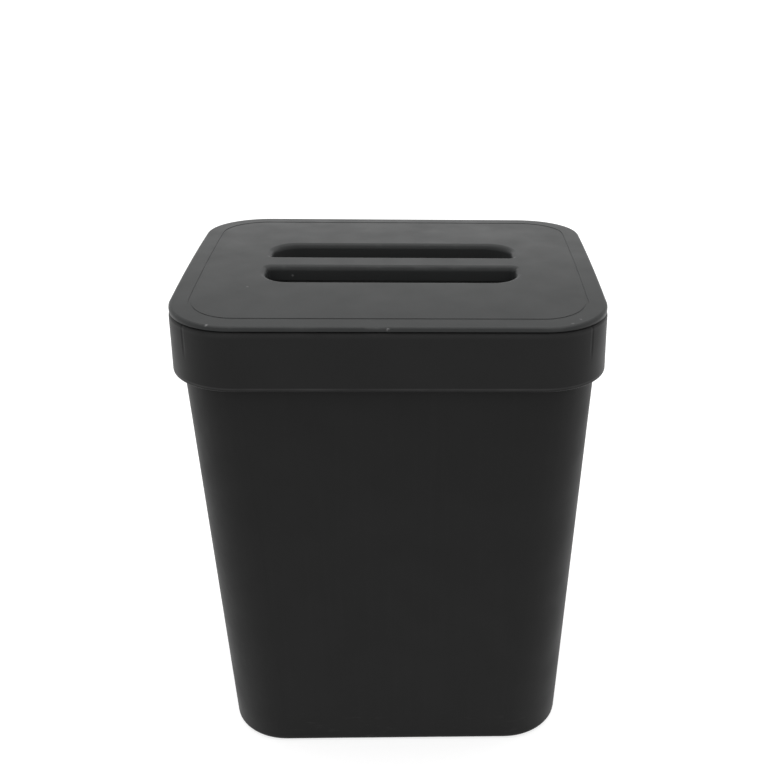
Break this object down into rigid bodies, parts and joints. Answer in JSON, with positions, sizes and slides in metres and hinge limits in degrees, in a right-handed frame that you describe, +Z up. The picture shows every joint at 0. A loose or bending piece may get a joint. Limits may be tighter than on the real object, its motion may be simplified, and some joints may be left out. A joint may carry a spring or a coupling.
{
  "type": "kitchen waste bin",
  "caption": "Tapered kitchen waste bin with rounded corners, a lift-off collar that holds the bag, and a lift-off lid with a grip bar between finger slots.",
  "frame": {"origin": "middle of the footprint, on the surface that the bin stands on", "axes": "+Z up, +X to the right seen from the front, the front faces -Y"},
  "size_m": [0.232, 0.1914, 0.2865],
  "materials": {
    "bucket_plastic": "fine matte texture, charcoal polypropylene",
    "collar_plastic": "fine matte texture, charcoal polypropylene",
    "lid_plastic": "fine matte texture, charcoal polypropylene",
    "liner_plastic": "smooth satin, charcoal polypropylene",
    "seal_rubber": "soft matte elastomer"
  },
  "bodies": {
    "bin": {"bin_body": "bucket_plastic"},
    "collar": {"bag_collar": "collar_plastic"},
    "lid": {"lid_cover": "lid_plastic", "lid_liner": "liner_plastic", "lid_seal": "seal_rubber"}
  },
  "joints": [
    {"name": "collar_lift", "type": "slide", "parent": "bin", "child": "collar", "axis": [0, 0, 1], "range_m": [0, 0.09]},
    {"name": "lid_lift", "type": "slide", "parent": "collar", "child": "lid", "axis": [0, 0, 1], "range_m": [0, 0.11]}
  ]
}
